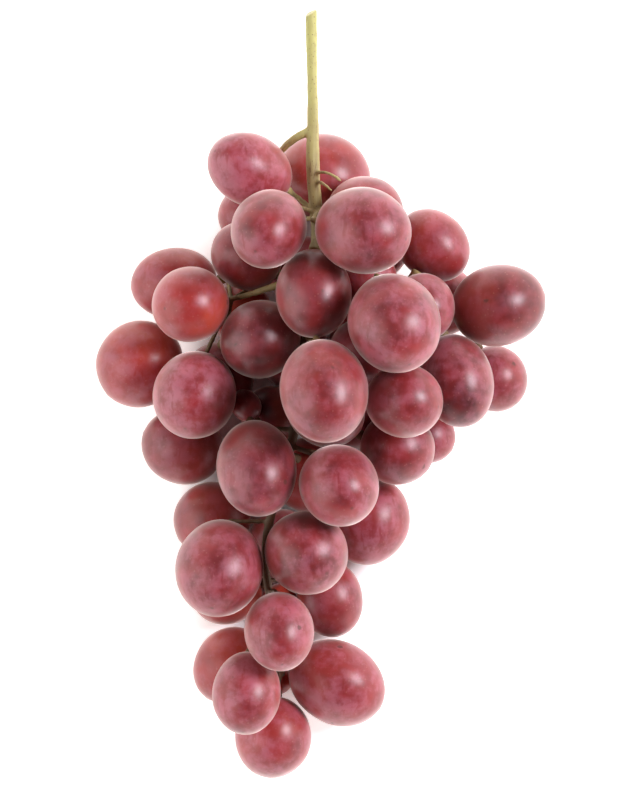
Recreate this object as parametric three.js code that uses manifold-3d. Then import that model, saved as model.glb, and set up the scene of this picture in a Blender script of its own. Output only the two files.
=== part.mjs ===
// A picked bunch of large red table grapes, lying on its side on a flat surface.
//
// Millimetres, +Z up. The surface is the plane z = 0 and the origin is the middle of the bunch's footprint on it.
// The bunch's own axis runs along Y: the cut end of its main stem points to +Y and its tip grape to -Y.
// One solid holds the branched stem, from the cut end to the little discs that the grapes hang on,
// and each grape is a solid of its own.

import * as THREE from "three";
import { mergeVertices } from "three/addons/utils/BufferGeometryUtils.js";
import Module from "manifold-3d";

const wasm = await Module();
wasm.setup();

// Grapes
const GRAPE_DETAIL = 2; // icosahedron subdivisions: 180 faces a grape
const BLUNT_END = 0.035; // share by which a grape is wider at its free end than at its stalk end
const TOUCH_GAP = 0.35; // left between grapes that press on each other
const FLAT_DEPTH = 0.5; // how far a grape that carries the bunch is flattened by its weight
const NECK_REACH = 2.2; // from a grape's stalk end to the middle of the space kept free for its stalk
const NECK_RADIUS = 1.9;
const UP_THE_BUNCH = new THREE.Vector3(0, 6, 0); // stalks of the underside lean this far to the cut end

// Stem
const CUT_END = [-3.9, 115.2, 24];
const CUT_RADIUS = 1.8;
const PEDUNCLE_RADIUS = 1.5; // at its slimmest, half-way to the cut end
const RACHIS_RADIUS = 2.1; // where the first branches leave
const RACHIS_TIP_RADIUS = 1.0;
const BRANCH_RADIUS = 1.15;
const TWIG_RADIUS = 0.55; // a dry twig that lost its grape
const LAST_STALK_Y = 72; // nearer to the cut end than this, the stem has no stalks
const STALK_RADIUS = 0.75; // the short stalk of one grape
const DISC_RADIUS = 1.9; // the disc that the grape sits on
const DISC_LENGTH = 1.8;
const STEM_GAP = 0.35; // left between the stem and every grape
const SIDES = 5; // sides of a stalk
const RACHIS_SIDES = 8;

// The main stem inside the bunch, from the cut end to the tip, and the branches that show between the grapes.
const RACHIS = [
  CUT_END,
  [-3.6, 98, 28],
  [-3.3, 84, 31.5],
  [-3.4, 73, 32.5],
  [-3.0, 62, 31.5],
  [-2.0, 50, 29.5],
  [-2.6, 36, 28],
  [-4.5, 20, 27.5],
  [-6.6, 4, 27],
  [-9.0, -12, 27],
  [-13.8, -30, 27.5],
  [-17.4, -44, 27],
  [-17.0, -58, 26],
  [-13.5, -72, 25],
  [-11.8, -83, 21],
];

// Side branches: one bends down behind the first grape, one crosses to the left shoulder, one to the right.
const BRANCHES = [
  [
    [-3.5, 79, 32],
    [-8.4, 76.6, 31],
    [-12.6, 73, 27],
    [-14.4, 69, 22],
  ],
  [
    [-2.7, 37, 28],
    [-9, 34, 30.5],
    [-16, 31.5, 31.5],
    [-22.5, 29.4, 30],
    [-28, 28, 26.5],
  ],
  [
    [-3.2, 30, 28],
    [6, 27, 26],
    [18, 23, 24],
    [30, 18.5, 23],
    [38, 14.5, 22],
  ],
];

// Dried stubs of stalks that lost their grape, where the stem shows at the top of the bunch.
const STUBS = [
  [
    [-2.6, 66, 33],
    [0.6, 66, 36.5],
    [3.6, 64.6, 38.6],
    [5.2, 63.4, 38.4],
  ],
  [
    [-2.4, 63.5, 32.5],
    [0, 62.5, 36],
    [2.4, 60.4, 37.6],
  ],
];

// x, y and height of the centre; length and width; compass angle of the stalk end (0 is +X, 90 is +Y);
// dip of the stalk end under the horizontal. Heights are first guesses, which settle() corrects.
const FIRST_HIDDEN = 41; // the place in this list of the first grape of the underside
const GRAPES = [
  [-21.3, 66.6, 37, 28.6, 21.6, -28, 35],
  [-0.3, 63.9, 14, 28.8, 26.4, 165, 0],
  [-15.8, 48.6, 52, 27.6, 22.4, 60, 55],
  [11.4, 47.1, 56, 30, 25.8, 168, 30],
  [11.1, 52.2, 31, 23.2, 22, 180, 0],
  [31.2, 44.1, 20, 24, 20.4, 138, 0],
  [51.9, 26.1, 16, 28.8, 24.6, 192, 0],
  [-22.8, 40.8, 32, 22.2, 20.4, -30, 10],
  [-21.6, 54, 15, 19.8, 18.6, 0, 0],
  [-42.6, 31.8, 18, 26.4, 21.6, 5, 0],
  [-39.3, 26.4, 42, 24, 22.8, 10, 50],
  [-2.7, 30, 43, 27, 22.8, 90, 15],
  [20.4, 20.1, 62, 31, 27.6, 110, 30],
  [28.8, 26.1, 40, 20.4, 19.2, 100, 26],
  [-18, 16.8, 42, 25.2, 23.4, 30, 35],
  [-53.1, 8.1, 15, 27, 25.8, 45, 0],
  [-38.4, -0.6, 44, 27.4, 25.2, 75, 40],
  [0.3, 1.5, 65, 32.4, 26.4, 98, 30],
  [24.3, -0.9, 42, 23.8, 22.2, 170, 30],
  [38.1, 4.5, 34, 29, 22.2, 105, 16],
  [49.2, 4.5, 11, 20.4, 19.2, 120, 0],
  [-42, -17.7, 18, 25.2, 22.8, -20, 0],
  [-20.1, -22.5, 50, 31.2, 24, 98, 34],
  [3.9, -27.9, 56, 27.2, 23.7, 120, 55],
  [21.6, -16.2, 28, 22.8, 22.2, 160, 10],
  [30.3, -11.7, 10, 16.8, 16.2, 150, 0],
  [-33.3, -37.5, 16, 23.4, 22.8, 30, 0],
  [-30.9, -52.8, 42, 31.2, 26.4, 80, 40],
  [-6.6, -49.2, 46, 26.6, 24.8, 135, 50],
  [13.2, -38.4, 14, 26.8, 24, 70, 0],
  [0.9, -61.8, 22, 23.4, 19.8, 100, 0],
  [-12.9, -69.9, 42, 25.6, 21, 95, 40],
  [-28.8, -61.8, 12, 21.6, 19.2, 15, 0],
  [-28.2, -81, 16, 24.4, 21.4, 55, 0],
  [-23.4, -90.3, 38, 25.7, 20.7, 85, 25],
  [2.5, -88.9, 14, 30.4, 25, 150, 0],
  [-14.1, -103.1, 13, 24.9, 23, 85, 5],
  [-22.5, -4.5, 38, 10.2, 9, -60, 0],
  [-15, -3, 20, 19.2, 18, 0, 0],
  [0.6, -5.4, 38, 24, 21.6, 150, 0],
  [-23.4, 22.2, 16, 19.2, 18, 60, 0],
  // The grapes of the underside, which only show from below and from the sides.
  [-10.2, 39, 12, 22.8, 21.6, 0, 0],
  [10.8, 42, 12, 23.4, 22.2, 0, 0],
  [-11.7, 14.1, 12, 24, 22.2, 0, 0],
  [10.8, 18, 12, 24.6, 22.8, 0, 0],
  [30.3, 29.1, 12, 22, 21, 0, 0],
  [-30.6, 3.6, 12, 22.8, 21.6, 0, 0],
  [30.3, 8.1, 12, 22.2, 21, 0, 0],
  [10.2, 13, 32, 21, 20.4, 0, 0],
  [7.5, -6, 12, 23.4, 22.2, 0, 0],
  [-8.4, -28.8, 12, 24, 22.2, 0, 0],
  [-15.6, -49.5, 12, 22.2, 21, 0, 0],
  [17, 33, 27, 18.6, 18, 0, 0],
  [-15.6, -62, 6, 11.4, 10.8, 0, 0],
  [-13.8, -87.5, 4, 8.8, 8.4, 0, 0],
];

const X = new THREE.Vector3(1, 0, 0);

// A grape as the numbers that its place and shape follow from.
function grapeOf([x, y, z, length, width, compass, dip], index) {
  const flat = THREE.MathUtils.degToRad(compass);
  const down = THREE.MathUtils.degToRad(dip);
  const axis = new THREE.Vector3(
    Math.cos(flat) * Math.cos(down),
    Math.sin(flat) * Math.cos(down),
    -Math.sin(down),
  );
  return {
    name: "grape_" + String(index + 1).padStart(2, "0"),
    hidden: index >= FIRST_HIDDEN,
    home: new THREE.Vector2(x, y),
    centre: new THREE.Vector3(x, y, z),
    axis, // from the middle to the stalk end
    long: length / 2,
    wide: width / 2,
  };
}

// How far a grape reaches from its centre along a direction.
function reach(grape, direction) {
  const along = grape.axis.dot(direction);
  const across = Math.sqrt(Math.max(0, 1 - along * along));
  const size = Math.hypot(grape.long * along, grape.wide * across);
  const forward = (grape.long * along) / size;
  const blunt = (BLUNT_END * forward * (grape.wide * across) ** 2) / size;
  return size - blunt;
}

function nearestOn(path, point) {
  let best = path[0];
  for (const p of path)
    if (p.distanceToSquared(point) < best.distanceToSquared(point)) best = p;
  return best;
}

// The middle of the free space that a grape needs in front of its stalk end.
function neckOf(grape, out) {
  return out.copy(grape.centre).addScaledVector(grape.axis, grape.long + NECK_REACH);
}

// Lets the grapes sink onto the surface and onto each other and pushes apart those that press together,
// mostly in height, so that from above each stays where it grew. Those of the underside give way the most.
function settle(grapes, stemPoints) {
  const SINKING_TURNS = 420;
  const TURNS = 1000;
  const SINK = 0.06;
  const HOMING = 0.06;
  const HIDDEN_HOMING = 0.01;
  const SIDEWAYS = 0.35; // share of a push that a grape gives way to sideways
  const FAR = 42; // further apart than this, two grapes can't touch
  const down = new THREE.Vector3(0, 0, -1);
  const apart = new THREE.Vector3();
  const neck = new THREE.Vector3();
  const ease = (grape) => (grape.hidden ? 1 : 0.4);
  const push = (grape, direction, amount) => {
    const sideways = grape.hidden ? 1 : SIDEWAYS;
    grape.centre.x += direction.x * amount * sideways;
    grape.centre.y += direction.y * amount * sideways;
    grape.centre.z += direction.z * amount;
  };
  const separate = (a, b, short) => {
    const share = ease(a) / (ease(a) + ease(b));
    push(a, apart, -short * share);
    push(b, apart, short * (1 - share));
  };
  for (let turn = 0; turn < TURNS; turn++) {
    if (turn < SINKING_TURNS)
      for (const grape of grapes) {
        const homing = grape.hidden ? HIDDEN_HOMING : HOMING;
        grape.centre.z -= SINK;
        grape.centre.x += (grape.home.x - grape.centre.x) * homing;
        grape.centre.y += (grape.home.y - grape.centre.y) * homing;
        if (grape.hidden)
          grape.axis
            .subVectors(nearestOn(stemPoints, grape.centre), grape.centre)
            .add(UP_THE_BUNCH)
            .normalize();
      }
    for (const a of grapes)
      for (const b of grapes) {
        if (a === b || a.centre.distanceTo(b.centre) > FAR) continue;
        if (a.name < b.name) {
          apart.subVectors(b.centre, a.centre);
          const distance = apart.length();
          apart.divideScalar(distance);
          const short = reach(a, apart) + reach(b, apart) + TOUCH_GAP - distance;
          if (short > 0) separate(a, b, short);
        }
        apart.subVectors(b.centre, neckOf(a, neck));
        const distance = apart.length();
        apart.divideScalar(distance);
        const short = reach(b, apart) + NECK_RADIUS - distance;
        if (short > 0) separate(a, b, short);
      }
    for (const grape of grapes) {
      const near = nearestOn(stemPoints, grape.centre);
      apart.subVectors(grape.centre, near);
      const distance = apart.length();
      apart.divideScalar(distance);
      const short = reach(grape, apart) + near.radius + 3 * STEM_GAP - distance;
      if (short > 0) push(grape, apart, short);
      const lowest = reach(grape, down) - FLAT_DEPTH;
      if (grape.centre.z < lowest) grape.centre.z = lowest;
    }
  }
}

// A grape's solid: an egg-like ball with one corner of its mesh straight down, cut flat where it meets the surface.
function grapeGeometry(grape) {
  const turn = new THREE.Quaternion().setFromUnitVectors(X, grape.axis);
  const lowest = new THREE.Vector3(0, 0, -1).applyQuaternion(
    turn.clone().invert(),
  );
  lowest
    .multiply(new THREE.Vector3(grape.long, grape.wide, grape.wide))
    .normalize();
  const ball = new THREE.IcosahedronGeometry(1, GRAPE_DETAIL);
  const corner = new THREE.Vector3()
    .fromBufferAttribute(ball.attributes.position, 0)
    .normalize();
  ball.applyQuaternion(
    new THREE.Quaternion().setFromUnitVectors(corner, lowest),
  );
  const place = ball.attributes.position;
  const p = new THREE.Vector3();
  for (let i = 0; i < place.count; i++) {
    p.fromBufferAttribute(place, i);
    const width = grape.wide * (1 - BLUNT_END * p.x);
    p.set(p.x * grape.long, p.y * width, p.z * width);
    p.applyQuaternion(turn).add(grape.centre);
    place.setXYZ(i, p.x, p.y, p.z);
  }
  return ball;
}

// A closed three.js geometry as a manifold-3d solid, and back.
function solidOf(geometry) {
  const bare = geometry.clone();
  bare.deleteAttribute("normal");
  bare.deleteAttribute("uv");
  const merged = mergeVertices(bare, 1e-4);
  return new wasm.Manifold(
    new wasm.Mesh({
      numProp: 3,
      vertProperties: merged.attributes.position.array,
      triVerts: new Uint32Array(merged.index.array),
    }),
  );
}

function geometryOf(solid) {
  const mesh = solid.getMesh();
  const geometry = new THREE.BufferGeometry();
  geometry.setAttribute(
    "position",
    new THREE.BufferAttribute(mesh.vertProperties, 3),
  );
  geometry.setIndex(new THREE.BufferAttribute(mesh.triVerts, 1));
  const flat = geometry.toNonIndexed();
  flat.computeVertexNormals();
  return flat;
}

// A round stem along a curve: a closed cylinder whose rings are carried to the curve, with a radius at each point.
function stemGeometry(curve, radiusAt, sides, steps) {
  const tube = new THREE.CylinderGeometry(1, 1, 1, sides, steps);
  const frames = curve.computeFrenetFrames(steps, false);
  const place = tube.attributes.position;
  const p = new THREE.Vector3();
  for (let i = 0; i < place.count; i++) {
    p.fromBufferAttribute(place, i);
    const step = Math.round((0.5 - p.y) * steps);
    const share = step / steps;
    const spot = curve.getPointAt(share);
    spot.addScaledVector(frames.normals[step], p.x * radiusAt(share));
    spot.addScaledVector(frames.binormals[step], p.z * radiusAt(share));
    place.setXYZ(i, spot.x, spot.y, spot.z);
  }
  return tube;
}

// Moves a point out of a grape that is grown by a margin all round. Returns whether it was inside.
const local = new THREE.Vector3();
function pushOut(point, grape, margin) {
  local.subVectors(point, grape.centre);
  if (local.length() > grape.long + margin) return false;
  const along = local.dot(grape.axis);
  local.addScaledVector(grape.axis, -along);
  const across = local.length();
  const share = Math.hypot(
    along / (grape.long + margin),
    across / (grape.wide * (1 + BLUNT_END) + margin),
  );
  if (share >= 1) return false;
  point
    .copy(grape.centre)
    .addScaledVector(grape.axis, along / share)
    .addScaledVector(local, 1 / share);
  return true;
}

// The ways to the stem through the free space between the grapes: space is cut into small cells,
// and each free cell learns which neighbour leads back to the stem by the shortest way.
function waysToStem(grapes, stemPoints) {
  const CELL = 1.2;
  const NEAR = 25; // a cell is inside the bunch where grapes' middles are this near
  const CROWDED = 4; // with fewer of them the cell lies at the outside, where stalks seldom run
  const OUTSIDE_COST = 3;
  const margin = STALK_RADIUS + STEM_GAP;
  const box = new THREE.Box3();
  for (const grape of grapes) box.expandByPoint(grape.centre);
  box.expandByScalar(18);
  box.min.z = margin;
  const size = box.getSize(new THREE.Vector3());
  const nx = Math.ceil(size.x / CELL);
  const ny = Math.ceil(size.y / CELL);
  const nz = Math.ceil(size.z / CELL);
  const crowd = new Uint8Array(nx * ny * nz);
  const blocked = new Uint8Array(nx * ny * nz);
  const cost = new Int32Array(nx * ny * nz).fill(1e9);
  const back = new Int32Array(nx * ny * nz).fill(-1);
  const cellOf = (point) => {
    const i = Math.floor((point.x - box.min.x) / CELL);
    const j = Math.floor((point.y - box.min.y) / CELL);
    const k = Math.max(0, Math.floor((point.z - box.min.z) / CELL));
    return (k * ny + j) * nx + i;
  };
  const middleOf = (cell, out) =>
    out.set(
      box.min.x + ((cell % nx) + 0.5) * CELL,
      box.min.y + ((Math.floor(cell / nx) % ny) + 0.5) * CELL,
      box.min.z + (Math.floor(cell / (nx * ny)) + 0.5) * CELL,
    );
  const p = new THREE.Vector3();
  for (let cell = 0; cell < crowd.length; cell++) {
    middleOf(cell, p);
    for (const grape of grapes) {
      if (Math.abs(grape.centre.z - p.z) > NEAR) continue;
      if (Math.abs(grape.centre.y - p.y) > NEAR) continue;
      if (grape.centre.distanceTo(p) > NEAR) continue;
      crowd[cell]++;
      if (pushOut(p, grape, margin)) {
        blocked[cell] = 1;
        break;
      }
    }
  }
  const turns = []; // cells of equal cost, cheapest first
  const visit = (cell, price, from) => {
    if (price >= cost[cell]) return;
    cost[cell] = price;
    back[cell] = from;
    turns[price] ??= [];
    turns[price].push(cell);
  };
  for (const point of stemPoints) visit(cellOf(point), 0, -1);
  for (let price = 0; price < turns.length; price++)
    for (const cell of turns[price] ?? []) {
      if (cost[cell] < price) continue;
      for (let dk = -1; dk <= 1; dk++)
        for (let dj = -1; dj <= 1; dj++)
          for (let di = -1; di <= 1; di++) {
            const next = cell + (dk * ny + dj) * nx + di;
            if (next < 0 || next >= blocked.length) continue;
            if (blocked[next] || crowd[next] === 0) continue;
            const length = Math.round(10 * Math.hypot(di, dj, dk));
            const outside = crowd[next] < CROWDED ? OUTSIDE_COST : 1;
            visit(next, price + length * outside, cell);
          }
    }
  return { cellOf, middleOf, cost, back, layer: nx * ny, row: nx, cell: CELL };
}

// The nearest cell with a way to the stem, from a point that may lie in a blocked one.
function entryCell(ways, point) {
  const middle = ways.cellOf(point);
  const probe = new THREE.Vector3();
  let best = -1;
  let least = Infinity;
  for (let dk = -3; dk <= 3; dk++)
    for (let dj = -3; dj <= 3; dj++)
      for (let di = -3; di <= 3; di++) {
        const cell = middle + dk * ways.layer + dj * ways.row + di;
        if (cell < 0 || !(ways.cost[cell] < 1e9)) continue;
        const away = ways.middleOf(cell, probe).distanceTo(point);
        const total = ways.cost[cell] / 10 + 6 * away;
        if (total < least) {
          least = total;
          best = cell;
        }
      }
  return best;
}

// Pulls a stalk's line straight and pushes it clear of the grapes, turn by turn, with its ends held.
function relax(points, grapes) {
  const margin = STALK_RADIUS + STEM_GAP + 0.1;
  for (let turn = 0; turn < 80; turn++) {
    for (let i = 2; i < points.length - 1; i++)
      points[i]
        .multiplyScalar(0.5)
        .addScaledVector(points[i - 1], 0.25)
        .addScaledVector(points[i + 1], 0.25);
    for (let sweep = 0; sweep < 3; sweep++)
      for (let i = 1; i < points.length - 1; i++)
        for (const grape of grapes) pushOut(points[i], grape, margin);
  }
}

// Joins each grape to the stem by its shortest way, nearest grapes first,
// so that the outer ones share the branches of the inner ones.
function growStalks(grapes, stemPoints) {
  const ways = waysToStem(grapes, stemPoints);
  const owner = new Map(); // cell: the stalk that runs through it
  const stalks = [];
  const clearOf = (grape) =>
    grape.centre.clone().addScaledVector(grape.axis, grape.long + STEM_GAP + DISC_LENGTH + 0.6);
  const waiting = grapes.map((grape) => {
    const clear = clearOf(grape);
    return { grape, clear, entry: entryCell(ways, clear) };
  });
  waiting.sort((a, b) => ways.cost[a.entry] - ways.cost[b.entry]);
  for (const { grape, clear, entry } of waiting) {
    if (entry < 0) {
      console.error(grape.name + " finds no free way to the stem");
      continue;
    }
    const start = grape.centre.clone().addScaledVector(grape.axis, grape.long + STEM_GAP);
    const cells = [];
    let cell = entry;
    while (cell >= 0 && !owner.has(cell)) {
      cells.push(cell);
      cell = ways.back[cell];
    }
    const parent = cell >= 0 ? owner.get(cell) : null;
    const joint = ways.middleOf(cell >= 0 ? cell : cells[cells.length - 1], new THREE.Vector3());
    const end = nearestOn(parent ? parent.points : stemPoints, joint);
    const points = [start, clear];
    cells.forEach((c, i) => {
      const spot = ways.middleOf(c, new THREE.Vector3());
      const last = points[points.length - 1];
      if (i % 2 === 1 && spot.distanceTo(end) > 2.5 && spot.distanceTo(last) > 2) points.push(spot);
    });
    points.push(end.clone());
    relax(points, grapes);
    const stalk = { grape, points, parent, served: 1 };
    for (let up = parent; up; up = up.parent) up.served++;
    stalks.push(stalk);
    for (const c of cells) owner.set(c, stalk);
  }
  return stalks;
}

function stalkGeometry({ points, served }) {
  const curve = new THREE.CatmullRomCurve3([...points].reverse(), false, "centripetal");
  const length = curve.getLength();
  const steps = Math.max(4, Math.round(length / 3.2));
  const discStart = 1 - DISC_LENGTH / length;
  const thick = STALK_RADIUS * Math.min(1.5, served ** 0.3);
  const radiusAt = (share) => {
    if (share > 0.999) return DISC_RADIUS;
    if (share > discStart) return STALK_RADIUS * 1.6;
    return THREE.MathUtils.lerp(thick, STALK_RADIUS, Math.min(1, share * 1.6));
  };
  return stemGeometry(curve, radiusAt, SIDES, steps);
}

function rachisGeometry() {
  const curve = new THREE.CatmullRomCurve3(
    RACHIS.map((p) => new THREE.Vector3(...p)),
  );
  const NECK = 0.12; // share of the length where the stem is slimmest
  const FIRST_BRANCH = 0.24;
  const radiusAt = (share) => {
    if (share < NECK)
      return THREE.MathUtils.lerp(CUT_RADIUS, PEDUNCLE_RADIUS, share / NECK);
    if (share < FIRST_BRANCH)
      return THREE.MathUtils.lerp(
        PEDUNCLE_RADIUS,
        RACHIS_RADIUS,
        (share - NECK) / (FIRST_BRANCH - NECK),
      );
    return THREE.MathUtils.lerp(
      RACHIS_RADIUS,
      RACHIS_TIP_RADIUS,
      (share - FIRST_BRANCH) / (1 - FIRST_BRANCH),
    );
  };
  return stemGeometry(curve, radiusAt, RACHIS_SIDES, 34);
}

function curveOf(points) {
  return new THREE.CatmullRomCurve3(points.map((p) => new THREE.Vector3(...p)));
}

// The middle line of the main stem and its branches as points that know their radius.
function stemLine() {
  const line = [];
  const addLine = (points, count, radius) => {
    for (const p of curveOf(points).getSpacedPoints(count)) {
      p.radius = radius;
      line.push(p);
    }
  };
  addLine(RACHIS, 120, RACHIS_RADIUS);
  for (const branch of BRANCHES) addLine(branch, 24, BRANCH_RADIUS);
  return line;
}

const grapes = GRAPES.map(grapeOf);
const stemPoints = stemLine();
settle(grapes, stemPoints);

const bunch = new THREE.Group();
const skin = new THREE.MeshStandardMaterial({ color: 0x8e3b47, roughness: 0.45, metalness: 0 });
const bark = new THREE.MeshStandardMaterial({ color: 0xb8ad6a, roughness: 0.7, metalness: 0 });

const floor = solidOf(
  new THREE.BoxGeometry(400, 400, 20).translate(0, 0, -10),
);
for (const grape of grapes) {
  const cut = solidOf(grapeGeometry(grape)).subtract(floor);
  const mesh = new THREE.Mesh(geometryOf(cut), skin);
  mesh.name = grape.name;
  bunch.add(mesh);
}

const stalks = growStalks(
  grapes,
  stemPoints.filter((p) => p.y < LAST_STALK_Y),
);
let stem = solidOf(rachisGeometry());
for (const branch of BRANCHES) {
  const taper = (share) => THREE.MathUtils.lerp(BRANCH_RADIUS * 1.3, BRANCH_RADIUS * 0.75, share);
  stem = stem.add(solidOf(stemGeometry(curveOf(branch), taper, SIDES, 10)));
}
for (const stub of STUBS) {
  const taper = (share) => THREE.MathUtils.lerp(TWIG_RADIUS * 1.2, TWIG_RADIUS * 0.8, share);
  stem = stem.add(solidOf(stemGeometry(curveOf(stub), taper, SIDES, 5)));
}
for (const stalk of stalks) stem = stem.add(solidOf(stalkGeometry(stalk)));
const stemMesh = new THREE.Mesh(geometryOf(stem), bark);
stemMesh.name = "stem";
bunch.add(stemMesh);

const box = new THREE.Box3().setFromObject(bunch);
bunch.position.set(
  -(box.min.x + box.max.x) / 2,
  -(box.min.y + box.max.y) / 2,
  0,
);

export default bunch;
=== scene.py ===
"""Looks of a picked bunch of large red table grapes that lies on a pale floor, seen from straight above.

Every grape of the frame is redrawn as a fine skin with a dimple, a scar and a soft flat where it rests,
and the branched stem as fresh bark with knots, ridges and the little buttons that hold the grapes.
Lengths are metres in the frame's axes. +Y runs to the cut end of the stem, and +Z is up.
"""

import math
import random

import bmesh
import bpy
import numpy as np
from bpy.props import FloatProperty, FloatVectorProperty, PointerProperty
from mathutils import Matrix, Vector, noise


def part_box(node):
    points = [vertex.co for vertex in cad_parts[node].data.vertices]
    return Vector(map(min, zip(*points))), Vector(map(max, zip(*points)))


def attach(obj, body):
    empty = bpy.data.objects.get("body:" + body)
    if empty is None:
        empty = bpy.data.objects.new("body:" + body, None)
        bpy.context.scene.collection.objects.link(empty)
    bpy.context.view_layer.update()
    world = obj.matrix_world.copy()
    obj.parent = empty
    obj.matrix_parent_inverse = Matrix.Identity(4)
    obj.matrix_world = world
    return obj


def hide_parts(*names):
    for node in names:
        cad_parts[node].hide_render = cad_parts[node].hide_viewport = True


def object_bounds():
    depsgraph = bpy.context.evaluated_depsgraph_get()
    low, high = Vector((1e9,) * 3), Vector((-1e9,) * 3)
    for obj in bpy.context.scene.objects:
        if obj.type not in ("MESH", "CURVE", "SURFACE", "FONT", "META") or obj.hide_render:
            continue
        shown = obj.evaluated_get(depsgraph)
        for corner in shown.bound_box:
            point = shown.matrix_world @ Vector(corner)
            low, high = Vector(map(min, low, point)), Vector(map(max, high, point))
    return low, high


bl_info = {
    "name": "Bunch of red grapes",
    "version": (1, 0, 0),
    "blender": (4, 5, 0),
    "location": "View3D > Sidebar > Grapes",
    "description": "Skins the grapes and the stem of a picked bunch and lights it on a pale floor",
    "category": "Object",
}

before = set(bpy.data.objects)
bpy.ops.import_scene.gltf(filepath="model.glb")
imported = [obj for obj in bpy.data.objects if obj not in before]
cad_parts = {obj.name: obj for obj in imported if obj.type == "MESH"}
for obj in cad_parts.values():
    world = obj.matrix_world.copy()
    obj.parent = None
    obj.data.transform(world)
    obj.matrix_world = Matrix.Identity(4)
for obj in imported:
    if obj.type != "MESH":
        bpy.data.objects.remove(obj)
CAD_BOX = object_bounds()

MM = 0.001
BODY = "root"
STEM_NODE = "stem"
GRAPE_NODES = sorted(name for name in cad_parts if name.startswith("grape_"))

PHOTO_WIDTH = 620
PHOTO_HEIGHT = 800
PHOTO_PIXEL = 0.3 * MM  # what a pixel of the photo covers at the bunch
ORIGIN_COLUMN = 320.4  # the photo's column and row that the frame's origin falls on
ORIGIN_ROW = 393.3


def linear(hex_colour):
    """The linear red, green and blue of an sRGB hex colour."""
    values = [int(hex_colour[i : i + 2], 16) / 255 for i in (1, 3, 5)]
    return tuple(v / 12.92 if v <= 0.04045 else ((v + 0.055) / 1.055) ** 2.4 for v in values)


def colour_setting(name, description, hex_colour):
    return FloatVectorProperty(
        name=name,
        description=description,
        subtype="COLOR",
        size=3,
        min=0.0,
        max=1.0,
        default=linear(hex_colour),
    )


def length_setting(name, description, metres):
    return FloatProperty(
        name=name,
        description=description,
        default=metres,
        min=0.0,
        unit="LENGTH",
        precision=5,
    )


class GrapeSkinSettings(bpy.types.PropertyGroup):
    wine: colour_setting("Wine", "Deepest skin, on the ripest grapes", "#480F12")
    rose: colour_setting("Rose", "Skin of most of the grapes", "#9A2123")
    # Glow is painted light: orange-red painted into the skin colour where light would shine through the
    # flesh
    glow: colour_setting("Glow", "Thin orange-red skin that light comes through", "#B4402A")
    bloom: colour_setting("Bloom", "Pale wax that dusts the skin", "#C07082")
    rim: colour_setting("Rim", "Tint of the wax where it is seen edge-on", "#FFEFE6")
    speck: colour_setting("Speck", "The pale pores of the skin", "#B87F70")
    scab: colour_setting("Scab", "Dry marks and the scar at the free end", "#4A2A1E")
    patch_size: length_setting("Bloom patch", "Width of a patch of bloom", 10 * MM)
    mottle_size: length_setting("Mottle", "Width of the cloudy mottling inside a patch", 3 * MM)
    pore_spacing: length_setting("Pore spacing", "Distance between the pale pores", 1.7 * MM)
    scab_spacing: length_setting("Scab spacing", "Distance between small dry marks", 15 * MM)
    lump_height: length_setting("Lump height", "How far the skin strays from an even egg", 0.16 * MM)


class StemBarkSettings(bpy.types.PropertyGroup):
    green: colour_setting("Green", "Fresh bark near the cut end", "#C0BC70")
    khaki: colour_setting("Khaki", "Older bark inside the bunch", "#9C8A5C")
    brown: colour_setting("Brown", "Corky scars, grooves and the stem deep inside", "#5E3C26")
    # Brown also darkens the stem deep inside the bunch as painted shade
    wood: colour_setting("Wood", "The bare wood of the cut", "#DDD6A8")
    fineness: length_setting("Fineness", "Size of the smallest form in the bark", 0.42 * MM)
    ridge_height: length_setting("Ridge height", "Height of the ridges that run along the stem", 0.14 * MM)
    ridge_spacing: length_setting("Ridge spacing", "Distance between those ridges", 1.1 * MM)


class StageSettings(bpy.types.PropertyGroup):
    floor: colour_setting("Floor", "Plain pale floor", "#FAF9F7")
    camera_height: length_setting("Camera height", "Height of the camera over the floor", 4.0)
    light_size: length_setting("Main light size", "Side of the soft main light", 0.55)


SETTINGS = {
    "grape_skin": GrapeSkinSettings,
    "stem_bark": StemBarkSettings,
    "grape_stage": StageSettings,
}
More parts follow.
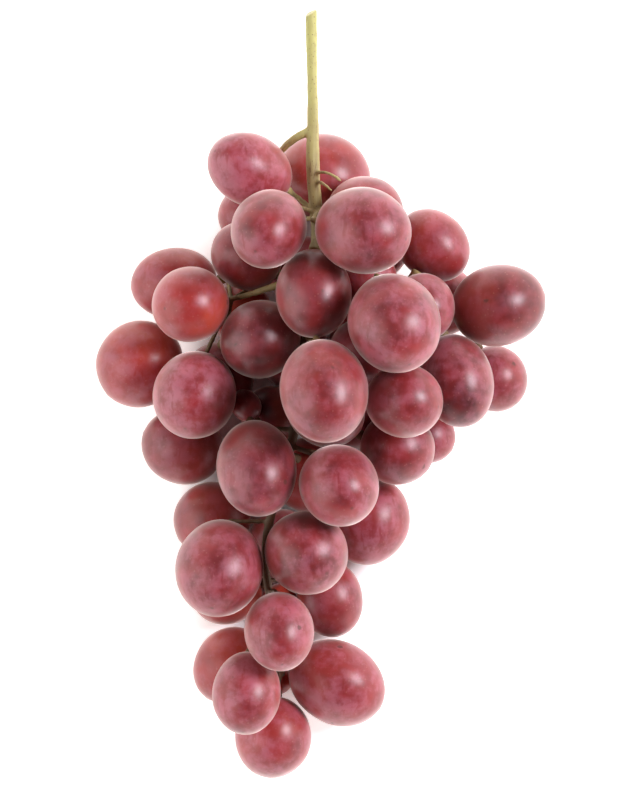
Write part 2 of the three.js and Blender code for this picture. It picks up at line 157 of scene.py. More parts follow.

# How ripe (from rose to wine), how dusty with bloom and how strong the painted glow of light shining
# through is, for each grape that shows from above
GRAPE_LOOKS = {
    "grape_01": (0.30, 0.75, 0.10),
    "grape_02": (0.40, 0.40, 0.40),
    "grape_03": (0.45, 0.55, 0.10),
    "grape_04": (0.55, 0.50, 0.15),
    "grape_05": (0.45, 0.50, 0.30),
    "grape_06": (0.40, 0.50, 0.35),
    "grape_07": (0.70, 0.25, 0.25),
    "grape_08": (0.55, 0.30, 0.20),
    "grape_09": (0.35, 0.55, 0.15),
    "grape_10": (0.15, 0.55, 0.55),
    "grape_11": (0.05, 0.45, 0.85),
    "grape_12": (0.60, 0.20, 0.20),
    "grape_13": (0.50, 0.60, 0.15),
    "grape_14": (0.45, 0.60, 0.10),
    "grape_15": (0.78, 0.22, 0.15),
    "grape_16": (0.12, 0.50, 0.60),
    "grape_17": (0.35, 0.80, 0.10),
    "grape_18": (0.55, 0.45, 0.15),
    "grape_19": (0.50, 0.50, 0.15),
    "grape_20": (0.65, 0.50, 0.05),
    "grape_21": (0.45, 0.60, 0.10),
    "grape_22": (0.50, 0.45, 0.25),
    "grape_23": (0.60, 0.40, 0.10),
    "grape_24": (0.45, 0.65, 0.10),
    "grape_25": (0.50, 0.50, 0.10),
    "grape_26": (0.45, 0.50, 0.10),
    "grape_27": (0.50, 0.30, 0.35),
    "grape_28": (0.45, 0.60, 0.10),
    "grape_29": (0.55, 0.60, 0.15),
    "grape_30": (0.35, 0.70, 0.10),
    "grape_31": (0.45, 0.50, 0.25),
    "grape_32": (0.40, 0.70, 0.15),
    "grape_33": (0.30, 0.20, 0.95),
    "grape_34": (0.20, 0.50, 0.60),
    "grape_35": (0.35, 0.75, 0.15),
    "grape_36": (0.35, 0.70, 0.25),
    "grape_37": (0.30, 0.65, 0.20),
    "grape_38": (0.60, 0.20, 0.10),
    "grape_39": (0.80, 0.10, 0.30),
    "grape_40": (0.60, 0.40, 0.05),
    "grape_41": (0.10, 0.15, 1.00),
    "grape_54": (0.30, 0.10, 0.95),
    "grape_55": (0.10, 0.10, 1.00),
}


def look_of(name):
    """The ripeness, bloom and painted glow of a grape, which are drawn by lot for those of the underside.
    """
    if name in GRAPE_LOOKS:
        return GRAPE_LOOKS[name]
    draw = random.Random(name)
    return draw.uniform(0.3, 0.6), draw.uniform(0.35, 0.7), draw.uniform(0.1, 0.4)


def new_object(name, mesh, material):
    piece = bpy.data.objects.new(name, mesh)
    bpy.context.scene.collection.objects.link(piece)
    mesh.materials.clear()
    mesh.materials.append(material)
    mesh.shade_smooth()
    return piece


def add(tree, kind, inputs=None, **settings):
    """Adds a node, sets what it is given and links each input that is another node's output."""
    node = tree.nodes.new(kind)
    for name, value in settings.items():
        setattr(node, name, value)
    for name, value in (inputs or {}).items():
        if isinstance(value, bpy.types.NodeSocket):
            tree.links.new(value, node.inputs[name])
        else:
            node.inputs[name].default_value = value
    return node


# The numbers of ShaderNodeMix's colour sockets, which share their names with its other sockets
MIX_FACTOR = 0
MIX_A = 6
MIX_B = 7
MIX_RESULT = 2


def new_material(name):
    material = bpy.data.materials.new(name)
    material.use_nodes = True
    material.node_tree.nodes.clear()
    return material, material.node_tree


def opaque(colour):
    return (*colour, 1.0)


# Shapes of the grapes, read from the frame

BUTTON_REACH = 2.6 * MM  # a face of the button that a grape sits on is no further from the grape's axis
NEAREST_BUTTON = 0.8  # and this far from the grape's middle, as shares of its half length
FURTHEST_BUTTON = 1.5
SAME_WAY = 0.9995  # the cosine between two faces of one button, and how far they may be out of line
SAME_PLANE = 0.12 * MM
FLAT_HEIGHT = 0.01 * MM  # points of a grape below this height belong to the flat that it rests on


class GrapeShape:
    """Where a grape is: its middle, the direction of its stalk end and its half length and half width."""

    def __init__(self, centre, axis, long, wide):
        self.centre = centre
        self.axis = axis
        self.long = long
        self.wide = wide


def triangles_of(mesh):
    """Middles, normals and areas of a mesh's faces."""
    count = len(mesh.polygons)
    middles = np.zeros(count * 3)
    normals = np.zeros(count * 3)
    areas = np.zeros(count)
    mesh.polygons.foreach_get("center", middles)
    mesh.polygons.foreach_get("normal", normals)
    mesh.polygons.foreach_get("area", areas)
    return middles.reshape(-1, 3), normals.reshape(-1, 3), areas


def points_of(mesh):
    points = np.zeros(len(mesh.vertices) * 3)
    mesh.vertices.foreach_get("co", points)
    return points.reshape(-1, 3)


def stalk_direction(centre, reach, stem_faces):
    """The way from a grape's middle to the flat button of the stem that faces it."""
    middles, normals, areas = stem_faces
    to_centre = centre - middles
    along = np.einsum("ij,ij->i", to_centre, normals)
    aside = np.linalg.norm(to_centre - along[:, None] * normals, axis=1)
    facing = (along > NEAREST_BUTTON * reach) & (along < FURTHEST_BUTTON * reach) & (aside < BUTTON_REACH)
    best = None
    best_area = 0.0
    for i in np.flatnonzero(facing):
        same = facing & (normals @ normals[i] > SAME_WAY) & (abs(along - along[i]) < SAME_PLANE)
        area = areas[same].sum()
        if area > best_area:
            best_area = area
            best = (normals[same] * areas[same, None]).sum(axis=0) / area
    if best is None:
        raise RuntimeError("a grape has no button of the stem that faces it")
    return -best / np.linalg.norm(best)


def grape_shape(node, stem_faces):
    """Fits an ellipsoid that is round about the stalk direction to a grape's solid."""
    low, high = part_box(node)
    points = points_of(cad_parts[node].data)
    middle = np.array((low + high) / 2)
    axis = stalk_direction(middle, max(high - low) / 2, stem_faces)
    side = np.cross(axis, (0.0, 0.0, 1.0))
    side /= np.linalg.norm(side)
    up = np.cross(axis, side)
    curved = points[points[:, 2] > FLAT_HEIGHT] - middle
    # Such an egg is where a*s*s + b*(r*r + t*t) + c*s + d*r + e*t = 1, with the a to e that fit best
    s, r, t = curved @ axis, curved @ side, curved @ up
    terms = np.stack([s * s, r * r + t * t, s, r, t], axis=1)
    a, b, c, d, e = np.linalg.lstsq(terms, np.ones(len(curved)), rcond=None)[0]
    s0, r0, t0 = -c / (2 * a), -d / (2 * b), -e / (2 * b)
    size = 1 + a * s0 * s0 + b * (r0 * r0 + t0 * t0)
    centre = middle + s0 * axis + r0 * side + t0 * up
    return GrapeShape(Vector(centre), Vector(axis), math.sqrt(size / a), math.sqrt(size / b))


def all_grape_shapes():
    stem_faces = triangles_of(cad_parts[STEM_NODE].data)
    return {node: grape_shape(node, stem_faces) for node in GRAPE_NODES}


# Grapes

DIMPLE_DEPTH = 0.3 * MM  # at the stalk end, under the button
DIMPLE_RADIUS = 2.6 * MM
SCAR_RADIUS = 0.75 * MM  # at the free end, where the flower was
SCAR_HEIGHT = 0.12 * MM
LUMP_SIZE = 8 * MM
LUMP_VARIETY = 50.0  # grapes take their lumps from places of the noise up to this far apart
REST_SOFTNESS = 0.5 * MM  # over this height the skin rounds off into the flat that it rests on
BALL_SUBDIVISIONS = 5
RUB_TURN = (0.4, 0.3, 0.7)  # the way that the rubbed streaks run, and how drawn out they are
RUB_STRETCH = (1.0, 0.28, 1.0)
WANDER_SIZE = 1.5 * MM  # how the outlines of dry marks wander
WANDER_REACH = 1.4 * MM
BLOOM_COVER = 0.66  # how much of the skin's red the thickest bloom covers
SKIN_RELIEF = 0.06 * MM  # height of the mottling and the pores
FLESH_DEPTH = 3 * MM  # how deep light gets into the flesh


def soft_floor(height):
    """Height over the floor, rounded off towards zero where a grape is pressed flat."""
    if height > REST_SOFTNESS:
        return height
    return REST_SOFTNESS * math.exp((height - REST_SOFTNESS) / REST_SOFTNESS)


def grape_mesh(name, shape, skin):
    """An egg with a dimple round its button, a scar at its free end and the soft lumps of a real skin."""
    ball = bmesh.new()
    bmesh.ops.create_icosphere(ball, subdivisions=BALL_SUBDIVISIONS, radius=1.0)
    turn = Vector((1, 0, 0)).rotation_difference(shape.axis).to_matrix()
    seed = Vector((random.Random(name).uniform(0, LUMP_VARIETY), 0, 0))
    ends = []
    for vertex in ball.verts:
        unit = vertex.co.copy()
        ends.append(unit.x)
        point = Vector((unit.x * shape.long, unit.y * shape.wide, unit.z * shape.wide))
        out = Vector((unit.x / shape.long, unit.y / shape.wide, unit.z / shape.wide)).normalized()
        off_axis = math.hypot(point.y, point.z)
        if unit.x > 0:
            point.x -= DIMPLE_DEPTH * math.exp(-((off_axis / DIMPLE_RADIUS) ** 2))
        else:
            point.x -= SCAR_HEIGHT * math.exp(-((off_axis / SCAR_RADIUS) ** 2))
        lump = noise.noise(unit * (shape.wide / LUMP_SIZE) + seed)
        point += out * lump * skin.lump_height
        vertex.co = turn @ point + shape.centre
        vertex.co.z = soft_floor(vertex.co.z)
    mesh = bpy.data.meshes.new(name)
    ball.to_mesh(mesh)
    ball.free()
    ripeness, bloom, glow = look_of(name)
    for attribute, values in (
        ("stalk_end", ends),
        ("ripeness", [ripeness] * len(ends)),
        ("bloom", [bloom] * len(ends)),
        ("glow", [glow] * len(ends)),
    ):
        mesh.attributes.new(attribute, "FLOAT", "POINT").data.foreach_set("value", values)
    return mesh


def grape_skin_material(skin):
    """Fresh grape skin: a fine red skin over clear flesh, dusted with wax that is rubbed off in places.

    The eye sees cloudy reds with a painted glow that stands in for light shining through, soft broad
    highlights and pale edges.
    """
    material, tree = new_material("fresh grape skin")
    place = add(tree, "ShaderNodeTexCoord").outputs["Object"]
    looks = {
        name: add(tree, "ShaderNodeAttribute", attribute_name=name).outputs["Fac"]
        for name in ("stalk_end", "ripeness", "bloom", "glow")
    }

    # Cloudy red, from rose to wine, in clouds a little narrower than the patches of bloom
    cloud = add(
        tree,
        "ShaderNodeTexNoise",
        {"Vector": place, "Scale": 1 / (skin.patch_size * 0.8), "Detail": 3.0, "Roughness": 0.55},
    ).outputs["Fac"]
    depth = add(tree, "ShaderNodeMath", {0: cloud, 1: 0.5}, operation="SUBTRACT").outputs[0]
    depth = add(
        tree,
        "ShaderNodeMath",
        {0: depth, 1: 1.5, 2: looks["ripeness"]},
        operation="MULTIPLY_ADD",
        use_clamp=True,
    ).outputs[0]
    red = add(
        tree,
        "ShaderNodeMix",
        {MIX_FACTOR: depth, MIX_A: opaque(skin.rose), MIX_B: opaque(skin.wine)},
        data_type="RGBA",
    ).outputs[MIX_RESULT]

    # Painted glow: orange-red painted into the skin colour where light would shine through the flesh,
    # mostly near the stalk end
    painted_glow_mask = add(
        tree,
        "ShaderNodeTexNoise",
        {"Vector": place, "Scale": 1 / (skin.patch_size * 1.3), "Detail": 2.0},
    ).outputs["Fac"]
    painted_glow_mask = add(
        tree,
        "ShaderNodeMath",
        {0: looks["stalk_end"], 1: 0.35, 2: painted_glow_mask},
        operation="MULTIPLY_ADD",
    ).outputs[0]
    painted_glow_mask = add(
        tree,
        "ShaderNodeMapRange",
        {"Value": painted_glow_mask, "From Min": 0.35, "From Max": 0.65},
        interpolation_type="SMOOTHSTEP",
    ).outputs["Result"]
    painted_glow_mask = add(tree, "ShaderNodeMath", {0: painted_glow_mask, 1: 0.3}, operation="ADD").outputs[0]
    painted_glow_mask = add(
        tree,
        "ShaderNodeMath",
        {0: painted_glow_mask, 1: looks["glow"]},
        operation="MULTIPLY",
        use_clamp=True,
    ).outputs[0]
    flesh = add(
        tree,
        "ShaderNodeMix",
        {MIX_FACTOR: painted_glow_mask, MIX_A: red, MIX_B: opaque(skin.glow)},
        data_type="RGBA",
    ).outputs[MIX_RESULT]

    # Pale pores
    pores = add(
        tree,
        "ShaderNodeTexVoronoi",
        {"Vector": place, "Scale": 1 / skin.pore_spacing, "Randomness": 1.0},
    ).outputs["Distance"]
    pores = add(
        tree,
        "ShaderNodeMapRange",
        {"Value": pores, "From Min": 0.22, "From Max": 0.06, "To Max": 0.22},
        interpolation_type="SMOOTHSTEP",
    ).outputs["Result"]
    flesh = add(
        tree,
        "ShaderNodeMix",
        {MIX_FACTOR: pores, MIX_A: flesh, MIX_B: opaque(skin.speck)},
        data_type="RGBA",
    ).outputs[MIX_RESULT]

    # Bloom: broad patches, mottled inside, with streaks where fingers and neighbours rubbed it off
    patches = add(
        tree,
        "ShaderNodeTexNoise",
        {"Vector": place, "Scale": 1 / skin.patch_size, "Detail": 4.0, "Distortion": 0.6},
    ).outputs["Fac"]
    mottle = add(
        tree,
        "ShaderNodeTexNoise",
        {"Vector": place, "Scale": 1 / skin.mottle_size, "Detail": 5.0, "Roughness": 0.6},
    ).outputs["Fac"]
    stretched = add(
        tree,
        "ShaderNodeMapping",
        {"Vector": place, "Rotation": RUB_TURN, "Scale": RUB_STRETCH},
    ).outputs["Vector"]
    rubs = add(
        tree,
        "ShaderNodeTexNoise",
        {"Vector": stretched, "Scale": 1 / (skin.mottle_size * 0.7), "Detail": 3.0, "Distortion": 0.4},
    ).outputs["Fac"]
    rubs = add(
        tree,
        "ShaderNodeMapRange",
        {"Value": rubs, "From Min": 0.52, "From Max": 0.68, "To Max": 0.6},
        interpolation_type="SMOOTHSTEP",
    ).outputs["Result"]
    dust = add(
        tree,
        "ShaderNodeMath",
        {0: mottle, 1: 0.8, 2: patches},
        operation="MULTIPLY_ADD",
    ).outputs[0]
    dust = add(
        tree,
        "ShaderNodeMapRange",
        {"Value": dust, "From Min": 0.72, "From Max": 1.12},
        interpolation_type="SMOOTHSTEP",
    ).outputs["Result"]
    dust = add(tree, "ShaderNodeMath", {0: dust, 1: 0.12}, operation="ADD").outputs[0]
    dust = add(tree, "ShaderNodeMath", {0: dust, 1: looks["bloom"]}, operation="MULTIPLY").outputs[0]
    kept = add(tree, "ShaderNodeMath", {0: 1.0, 1: rubs}, operation="SUBTRACT").outputs[0]
    dust = add(
        tree,
        "ShaderNodeMath",
        {0: dust, 1: kept},
        operation="MULTIPLY",
        use_clamp=True,
    ).outputs[0]
    cover = add(tree, "ShaderNodeMath", {0: dust, 1: BLOOM_COVER}, operation="MULTIPLY").outputs[0]
    colour = add(
        tree,
        "ShaderNodeMix",
        {MIX_FACTOR: cover, MIX_A: flesh, MIX_B: opaque(skin.bloom)},
        data_type="RGBA",
    ).outputs[MIX_RESULT]

    # Dry marks, few and small, and the scar at the free end
    wander = add(
        tree,
        "ShaderNodeTexNoise",
        {"Vector": place, "Scale": 1 / WANDER_SIZE, "Detail": 2.0},
    ).outputs["Color"]
    wander = add(
        tree,
        "ShaderNodeVectorMath",
        {0: wander, "Scale": WANDER_REACH},
        operation="SCALE",
    ).outputs["Vector"]
    shaken = add(tree, "ShaderNodeVectorMath", {0: place, 1: wander}, operation="ADD").outputs["Vector"]
    marks = add(
        tree,
        "ShaderNodeTexVoronoi",
        {"Vector": shaken, "Scale": 1 / skin.scab_spacing, "Randomness": 1.0},
    ).outputs["Distance"]
    marks = add(
        tree,
        "ShaderNodeMapRange",
        {"Value": marks, "From Min": 0.07, "From Max": 0.035, "To Max": 0.7},
        interpolation_type="SMOOTHSTEP",
    ).outputs["Result"]
    scar = add(
        tree,
        "ShaderNodeMapRange",
        {"Value": looks["stalk_end"], "From Min": -0.9972, "From Max": -0.9992, "To Max": 0.45},
        interpolation_type="SMOOTHSTEP",
    ).outputs["Result"]
    marks = add(tree, "ShaderNodeMath", {0: marks, 1: scar}, operation="MAXIMUM").outputs[0]
    colour = add(
        tree,
        "ShaderNodeMix",
        {MIX_FACTOR: marks, MIX_A: colour, MIX_B: opaque(skin.scab)},
        data_type="RGBA",
    ).outputs[MIX_RESULT]

    # Rubbed skin shines, dusty skin less, and a dry mark least
    roughness = add(
        tree,
        "ShaderNodeMapRange",
        {"Value": dust, "To Min": 0.34, "To Max": 0.5},
    ).outputs["Result"]
    roughness = add(tree, "ShaderNodeMath", {0: roughness, 1: marks}, operation="MAXIMUM").outputs[0]
    height = add(
        tree,
        "ShaderNodeMath",
        {0: mottle, 1: 0.4, 2: pores},
        operation="MULTIPLY_ADD",
    ).outputs[0]
    bump = add(
        tree,
        "ShaderNodeBump",
        {"Height": height, "Strength": 0.25, "Distance": SKIN_RELIEF},
    ).outputs["Normal"]
    surface = add(
        tree,
        "ShaderNodeBsdfPrincipled",
        {
            "Base Color": colour,
            "Roughness": roughness,
            "Normal": bump,
            "IOR": 1.4,
            "Subsurface Weight": 0.35,
            "Subsurface Radius": (1.0, 0.22, 0.12),
            "Subsurface Scale": FLESH_DEPTH,
            "Sheen Weight": 1.0,
            "Sheen Roughness": 0.34,
            "Sheen Tint": opaque(skin.rim),
            "Coat Weight": 0.4,
            "Coat Roughness": 0.38,
            "Coat IOR": 1.55,
        },
        subsurface_method="RANDOM_WALK",
    ).outputs[0]
    add(tree, "ShaderNodeOutputMaterial", {"Surface": surface})
    return material


class GRAPES_OT_skin_grapes(bpy.types.Operator):
    """Replace every grape of the frame by its fine skin"""

    bl_idname = "grapes.skin_grapes"
    bl_label = "Skin the grapes"

    def execute(self, context):
        skin = context.scene.grape_skin
        material = grape_skin_material(skin)
        for node, shape in all_grape_shapes().items():
            piece = new_object(f"{node}_skin", grape_mesh(node, shape, skin), material)
            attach(piece, BODY)
            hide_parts(node)
        return {"FINISHED"}


# Stem

BUTTON_RADIUS = 1.6 * MM
BUTTON_LENGTH = 1.2 * MM
BUTTON_SIDES = 18
# The button's outline from its top to its seat in the dimple, as shares of its radius and its length
BUTTON_OUTLINE = ((0.0, 1.0), (0.62, 1.0), (0.85, 0.8), (1.0, 0.45), (1.0, 0.2), (0.86, 0.0), (0.0, -0.06))
BUTTON_SINK = 0.05 * MM  # how far the button sinks into the dimple
CUT_SLANT = Vector((-0.62, 1.0, 0.25)).normalized()  # the way that the cut face of the stem looks
CUT_DEPTH = 1.0 * MM
CUT_SOFTNESS = 0.2 * MM
SAME_POINT = 0.001 * MM  # points of the frame's stem closer than this are one
SMOOTHING_ROUNDS = 4
BARK_SWELL = 0.07 * MM  # makes up for what smoothing takes off
LOWEST_BARK = 0.1 * MM  # the stem stays this far over the floor
KNOT_SIZE = 5 * MM
RIDGE_STRETCH = 0.08  # how much slower the ridges change along the stem than across it
GROOVE_STRETCH = 0.12  # the same for the grooves between them
GROOVE_WIDTH = 0.7 * MM
GROOVE_DEPTH = 0.25 * MM
CLOUD_SIZE = 8 * MM  # of the bark's changes of colour
FLECK_SPACING = 1.3 * MM
FRESH_TO = CAD_BOX[1][1] - 10 * MM  # down the stem, bark is fresh to this place on Y and old from the next
OLD_FROM = CAD_BOX[1][1] - 75 * MM
PAINTED_SHADE_FROM = 34 * MM  # painted shade darkens the bark to brown from here, where the grapes close over it, and is full from the next
PAINTED_SHADE_FULL = 6 * MM
BARK_DEPTH = 1 * MM  # how deep light gets into the bark


def add_button(work, shape):
    """The round, slightly domed button between a stalk and its grape, from the stalk down onto the skin."""
    seat = shape.long - DIMPLE_DEPTH - BUTTON_SINK
    turn = Vector((1, 0, 0)).rotation_difference(shape.axis).to_matrix()
    rings = []
    for radius, height in BUTTON_OUTLINE:
        count = BUTTON_SIDES if radius else 1
        ring = []
        for i in range(count):
            angle = 2 * math.pi * i / count
            across = radius * BUTTON_RADIUS
            along = seat + height * BUTTON_LENGTH
            spot = Vector((along, across * math.cos(angle), across * math.sin(angle)))
            ring.append(work.verts.new(turn @ spot + shape.centre))
        rings.append(ring)
    for above, below in zip(rings, rings[1:]):
        for i in range(BUTTON_SIDES):
            corners = [
                above[i % len(above)],
                below[i % len(below)],
                below[(i + 1) % len(below)],
                above[(i + 1) % len(above)],
            ]
            work.faces.new(list(dict.fromkeys(corners)))


def bark_mesh(shapes, bark):
    """The frame's stem, cut at a slant, with its buttons, rounded all over and given ridges and knots."""
    work = bmesh.new()
    work.from_mesh(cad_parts[STEM_NODE].data)
    bmesh.ops.remove_doubles(work, verts=work.verts, dist=SAME_POINT)
    top = max(work.verts, key=lambda vertex: vertex.co.y).co.copy()
    cut_at = top - CUT_SLANT * CUT_DEPTH
    cut = bmesh.ops.bisect_plane(
        work,
        geom=work.verts[:] + work.edges[:] + work.faces[:],
        plane_co=cut_at,
        plane_no=CUT_SLANT,
        clear_outer=True,
    )
    rim = [item for item in cut["geom_cut"] if isinstance(item, bmesh.types.BMEdge)]
    bmesh.ops.edgeloop_fill(work, edges=rim)
    for shape in shapes.values():
        add_button(work, shape)
    bmesh.ops.recalc_face_normals(work, faces=work.faces)
    rough = bpy.data.meshes.new("stem_rough")
    work.to_mesh(rough)
    work.free()

    holder = bpy.data.objects.new("stem_rough", rough)
    bpy.context.scene.collection.objects.link(holder)
    rounding = holder.modifiers.new("rounding", "REMESH")
    rounding.mode = "VOXEL"
    rounding.voxel_size = bark.fineness
    smoothing = holder.modifiers.new("smoothing", "SMOOTH")
    smoothing.factor = 0.5
    smoothing.iterations = SMOOTHING_ROUNDS
    evaluated = holder.evaluated_get(bpy.context.evaluated_depsgraph_get())
    mesh = bpy.data.meshes.new_from_object(evaluated)
    bpy.data.objects.remove(holder)
    bpy.data.meshes.remove(rough)

    spots = points_of(mesh)
    normals = np.zeros(spots.size)
    mesh.vertices.foreach_get("normal", normals)
    swells = []
    for x, y, z in spots:
        ridge = noise.noise(Vector((x, y * RIDGE_STRETCH, z)) / bark.ridge_spacing)
        knot = noise.noise(Vector((x, y, z)) / KNOT_SIZE)
        swells.append(BARK_SWELL + bark.ridge_height * (ridge + 0.5 * max(0.0, knot)))
    spots += normals.reshape(-1, 3) * np.array(swells)[:, None]
    spots[:, 2] = np.maximum(spots[:, 2], LOWEST_BARK)
    mesh.vertices.foreach_set("co", spots.ravel())
    mesh.update()
    over_cut = (spots - np.array(cut_at)) @ np.array(CUT_SLANT)
    bare = np.clip(over_cut / CUT_SOFTNESS + 2.0, 0.0, 1.0)
    mesh.attributes.new("bare_wood", "FLOAT", "POINT").data.foreach_set("value", bare)
    mesh.name = "stem_bark"
    return mesh


def bark_material(bark):
    """Fresh stalk bark: green by the cut, khaki and corky inside the bunch, darkened to brown by painted
    shade deep inside it, with lengthwise grooves.

    The eye sees a matt yellow-green stick with brown streaks that ends in pale bare wood.
    """
    material, tree = new_material("fresh stalk bark")
    place = add(tree, "ShaderNodeTexCoord").outputs["Object"]
    along = add(tree, "ShaderNodeSeparateXYZ", {0: place}).outputs["Y"]
    cloud = add(
        tree,
        "ShaderNodeTexNoise",
        {"Vector": place, "Scale": 1 / CLOUD_SIZE, "Detail": 4.0, "Roughness": 0.6},
    ).outputs["Fac"]
    age = add(
        tree,
        "ShaderNodeMapRange",
        {"Value": along, "From Min": FRESH_TO, "From Max": OLD_FROM},
    ).outputs["Result"]
    age = add(
        tree,
        "ShaderNodeMath",
        {0: cloud, 1: 0.9, 2: age},
        operation="MULTIPLY_ADD",
    ).outputs[0]
    age = add(
        tree,
        "ShaderNodeMapRange",
        {"Value": age, "From Min": 0.35, "From Max": 1.25},
    ).outputs["Result"]
    colour = add(
        tree,
        "ShaderNodeMix",
        {MIX_FACTOR: age, MIX_A: opaque(bark.green), MIX_B: opaque(bark.khaki)},
        data_type="RGBA",
    ).outputs[MIX_RESULT]

    # Painted shade: deep inside the bunch, where the grapes close over it, the bark is darkened to brown
    inside = add(
        tree,
        "ShaderNodeMapRange",
        {"Value": along, "From Min": PAINTED_SHADE_FROM, "From Max": PAINTED_SHADE_FULL, "To Max": 0.85},
        interpolation_type="SMOOTHSTEP",
    ).outputs["Result"]
    colour = add(
        tree,
        "ShaderNodeMix",
        {MIX_FACTOR: inside, MIX_A: colour, MIX_B: opaque(bark.brown)},
        data_type="RGBA",
    ).outputs[MIX_RESULT]

    # Grooves and corky flecks, drawn out along the stem
    drawn_out = add(
        tree,
        "ShaderNodeMapping",
        {"Vector": place, "Scale": (1.0, GROOVE_STRETCH, 1.0)},
    ).outputs["Vector"]
    grooves = add(
        tree,
        "ShaderNodeTexNoise",
        {"Vector": drawn_out, "Scale": 1 / GROOVE_WIDTH, "Detail": 4.0, "Roughness": 0.6},
    ).outputs["Fac"]
    corky = add(
        tree,
        "ShaderNodeMapRange",
        {"Value": grooves, "From Min": 0.52, "From Max": 0.7, "To Max": 0.75},
        interpolation_type="SMOOTHSTEP",
    ).outputs["Result"]
    worn = add(
        tree,
        "ShaderNodeMapRange",
        {"Value": cloud, "From Min": 0.42, "From Max": 0.68},
        interpolation_type="SMOOTHSTEP",
    ).outputs["Result"]
    corky = add(tree, "ShaderNodeMath", {0: corky, 1: worn}, operation="MULTIPLY").outputs[0]
    flecks = add(
        tree,
        "ShaderNodeTexVoronoi",
        {"Vector": place, "Scale": 1 / FLECK_SPACING, "Randomness": 1.0},
    ).outputs["Distance"]
    flecks = add(
        tree,
        "ShaderNodeMapRange",
        {"Value": flecks, "From Min": 0.2, "From Max": 0.1, "To Max": 0.6},
        interpolation_type="SMOOTHSTEP",
    ).outputs["Result"]
    corky = add(tree, "ShaderNodeMath", {0: corky, 1: flecks}, operation="MAXIMUM").outputs[0]
    colour = add(
        tree,
        "ShaderNodeMix",
        {MIX_FACTOR: corky, MIX_A: colour, MIX_B: opaque(bark.brown)},
        data_type="RGBA",
    ).outputs[MIX_RESULT]

    # Bare wood where the stem was cut
    bare = add(tree, "ShaderNodeAttribute", attribute_name="bare_wood").outputs["Fac"]
    colour = add(
        tree,
        "ShaderNodeMix",
        {MIX_FACTOR: bare, MIX_A: colour, MIX_B: opaque(bark.wood)},
        data_type="RGBA",
    ).outputs[MIX_RESULT]
    bump = add(
        tree,
        "ShaderNodeBump",
        {"Height": grooves, "Strength": 0.6, "Distance": GROOVE_DEPTH},
    ).outputs["Normal"]
    surface = add(
        tree,
        "ShaderNodeBsdfPrincipled",
        {
            "Base Color": colour,
            "Roughness": 0.58,
            "Normal": bump,
            "Subsurface Weight": 0.12,
            "Subsurface Radius": (0.6, 0.5, 0.2),
            "Subsurface Scale": BARK_DEPTH,
        },
    ).outputs[0]
    add(tree, "ShaderNodeOutputMaterial", {"Surface": surface})
    return material


class GRAPES_OT_bark_stem(bpy.types.Operator):
    """Replace the stem of the frame by fine bark with the buttons that hold the grapes"""

    bl_idname = "grapes.bark_stem"
    bl_label = "Bark the stem"

    def execute(self, context):
        bark = context.scene.stem_bark
        piece = new_object("stem_bark", bark_mesh(all_grape_shapes(), bark), bark_material(bark))
        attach(piece, BODY)
        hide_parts(STEM_NODE)
        return {"FINISHED"}


# Stage

FLOOR_RADIUS = 8.0
FLOOR_GLOW = 0.75  # painted light: the floor glows faintly from within, as under fruit that is photographed on white
PAINTED_SHADOW_PLACE = (-9 * MM, -8 * MM, 0.0)  # the middle of the painted shadow under the bunch, where the floor's glow is left out
PAINTED_SHADOW_TURN = (0.0, 0.0, -0.08)  # it leans as the bunch does
PAINTED_SHADOW_REACH = (35 * MM, 98 * MM, 1.0)
FRAMED_HEIGHT = 45 * MM  # the height over the floor at which the picture has the photo's scale
MAIN_LIGHT_PLACE = Vector((1.05, 0.35, 1.05))
MAIN_LIGHT_POWER = 25.0  # watts
FILL_LIGHT_PLACE = Vector((-1.3, -0.2, 1.1))
FILL_LIGHT_POWER = 17.0
FILL_LIGHT_SIZE = 1.6
SENSOR_WIDTH = 36.0  # millimetres, as Blender counts it
FURTHEST_SEEN = 50.0


def pale_room():
    """Surroundings that are white all round and dim overhead: edges shine and the middles stay deep."""
    world = bpy.data.worlds.new("pale room")
    world.use_nodes = True
    tree = world.node_tree
    tree.nodes.clear()
    direction = add(tree, "ShaderNodeTexCoord").outputs["Generated"]
    height = add(tree, "ShaderNodeSeparateXYZ", {0: direction}).outputs["Z"]
    strength = add(
        tree,
        "ShaderNodeMapRange",
        {"Value": height, "From Min": 0.05, "From Max": 0.7, "To Min": 1.7, "To Max": 0.02},
        interpolation_type="SMOOTHSTEP",
    ).outputs["Result"]
    white = opaque(linear("#FFFFFF"))
    light = add(tree, "ShaderNodeBackground", {"Color": white, "Strength": strength}).outputs[0]
    add(tree, "ShaderNodeOutputWorld", {"Surface": light})
    return world


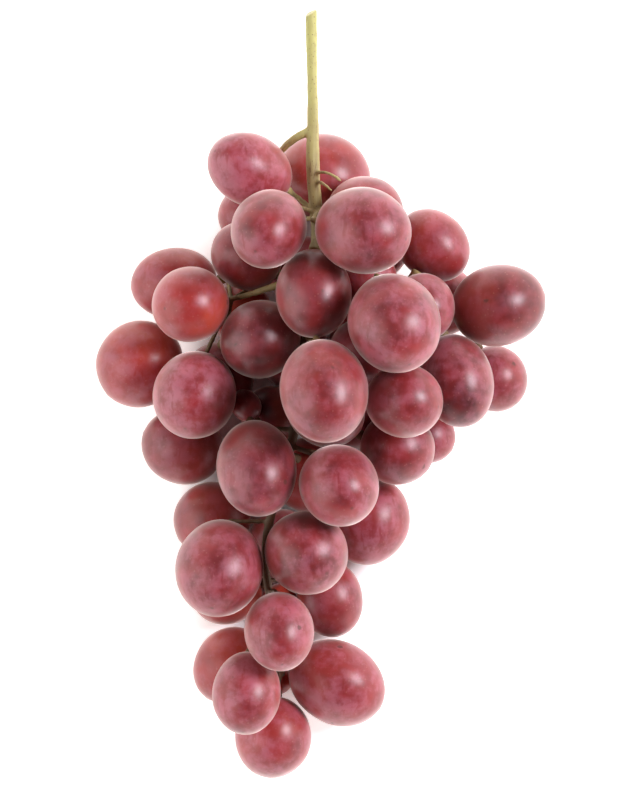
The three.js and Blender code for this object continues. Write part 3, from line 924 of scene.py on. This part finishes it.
def floor_piece(colour):
    """A floor of matt white paint with a painted glow all round the bunch, left out where the bunch lies as
    a painted shadow.

    The eye sees plain white round the fruit and a soft shadow under it, partly cast by the lamps and partly
    painted.
    """
    material, tree = new_material("pale matt floor")
    place = add(tree, "ShaderNodeTexCoord").outputs["Object"]
    place = add(
        tree,
        "ShaderNodeMapping",
        {
            "Vector": place,
            "Location": PAINTED_SHADOW_PLACE,
            "Rotation": PAINTED_SHADOW_TURN,
            "Scale": PAINTED_SHADOW_REACH,
        },
        vector_type="TEXTURE",
    ).outputs["Vector"]
    away = add(tree, "ShaderNodeVectorMath", {0: place}, operation="LENGTH").outputs["Value"]
    # Painted shadow: the glow fades out inside an ellipse under the bunch
    glow = add(
        tree,
        "ShaderNodeMapRange",
        {"Value": away, "From Min": 0.7, "From Max": 1.05, "To Max": FLOOR_GLOW},
        interpolation_type="SMOOTHSTEP",
    ).outputs["Result"]
    surface = add(
        tree,
        "ShaderNodeBsdfPrincipled",
        {
            "Base Color": opaque(colour),
            "Roughness": 0.9,
            "Emission Color": opaque(colour),
            "Emission Strength": glow,
        },
    ).outputs[0]
    add(tree, "ShaderNodeOutputMaterial", {"Surface": surface})
    disc = bmesh.new()
    bmesh.ops.create_circle(disc, cap_ends=True, segments=96, radius=FLOOR_RADIUS)
    mesh = bpy.data.meshes.new("floor")
    disc.to_mesh(mesh)
    disc.free()
    return new_object("floor", mesh, material)


def area_light(name, place, target, size, power, colour):
    light = bpy.data.lights.new(name, "AREA")
    light.shape = "SQUARE"
    light.size = size
    light.energy = power
    light.color = colour
    holder = bpy.data.objects.new(name, light)
    bpy.context.scene.collection.objects.link(holder)
    aim = (target - place).to_track_quat("-Z", "Y").to_matrix().to_4x4()
    holder.matrix_world = Matrix.Translation(place) @ aim


class GRAPES_OT_set_stage(bpy.types.Operator):
    """Lay the floor, light the bunch and set the camera straight above it"""

    bl_idname = "grapes.set_stage"
    bl_label = "Set the stage"

    def execute(self, context):
        stage = context.scene.grape_stage
        floor_piece(stage.floor)

        context.scene.world = pale_room()
        target = Vector((0, 0, FRAMED_HEIGHT))
        area_light(
            "main light",
            MAIN_LIGHT_PLACE,
            target,
            stage.light_size,
            MAIN_LIGHT_POWER,
            linear("#F8F2FC"),
        )
        area_light(
            "fill light",
            FILL_LIGHT_PLACE,
            target,
            FILL_LIGHT_SIZE,
            FILL_LIGHT_POWER,
            linear("#FFFFFF"),
        )

        seen_height = PHOTO_HEIGHT * PHOTO_PIXEL
        camera = bpy.data.cameras.new("camera")
        camera.sensor_width = SENSOR_WIDTH
        camera.lens = camera.sensor_width * (stage.camera_height - FRAMED_HEIGHT) / seen_height
        camera.clip_end = FURTHEST_SEEN
        holder = bpy.data.objects.new("camera", camera)
        context.scene.collection.objects.link(holder)
        holder.location = (
            (PHOTO_WIDTH / 2 - ORIGIN_COLUMN) * PHOTO_PIXEL,
            (ORIGIN_ROW - PHOTO_HEIGHT / 2) * PHOTO_PIXEL,
            stage.camera_height,
        )
        context.scene.camera = holder
        context.scene.view_settings.view_transform = "Standard"
        return {"FINISHED"}


class GRAPES_PT_panel(bpy.types.Panel):
    """Lists the steps that dress the bunch, with their settings"""

    bl_idname = "GRAPES_PT_panel"
    bl_label = "Bunch of grapes"
    bl_space_type = "VIEW_3D"
    bl_region_type = "UI"
    bl_category = "Grapes"

    def draw(self, context):
        for operator, settings_name in STEPS:
            box = self.layout.box()
            box.operator(operator)
            settings = getattr(context.scene, settings_name)
            for name in SETTINGS[settings_name].__annotations__:
                box.prop(settings, name)


STEPS = (
    ("grapes.set_stage", "grape_stage"),
    ("grapes.skin_grapes", "grape_skin"),
    ("grapes.bark_stem", "stem_bark"),
)

CLASSES = (
    GrapeSkinSettings,
    StemBarkSettings,
    StageSettings,
    GRAPES_OT_skin_grapes,
    GRAPES_OT_bark_stem,
    GRAPES_OT_set_stage,
    GRAPES_PT_panel,
)


def register():
    for cls in CLASSES:
        bpy.utils.register_class(cls)
    for name, settings in SETTINGS.items():
        setattr(bpy.types.Scene, name, PointerProperty(type=settings))


def unregister():
    for name in SETTINGS:
        delattr(bpy.types.Scene, name)
    for cls in reversed(CLASSES):
        bpy.utils.unregister_class(cls)


def main():
    register()
    bpy.ops.grapes.set_stage()
    bpy.ops.grapes.skin_grapes()
    bpy.ops.grapes.bark_stem()


if __name__ == "__main__":
    main()
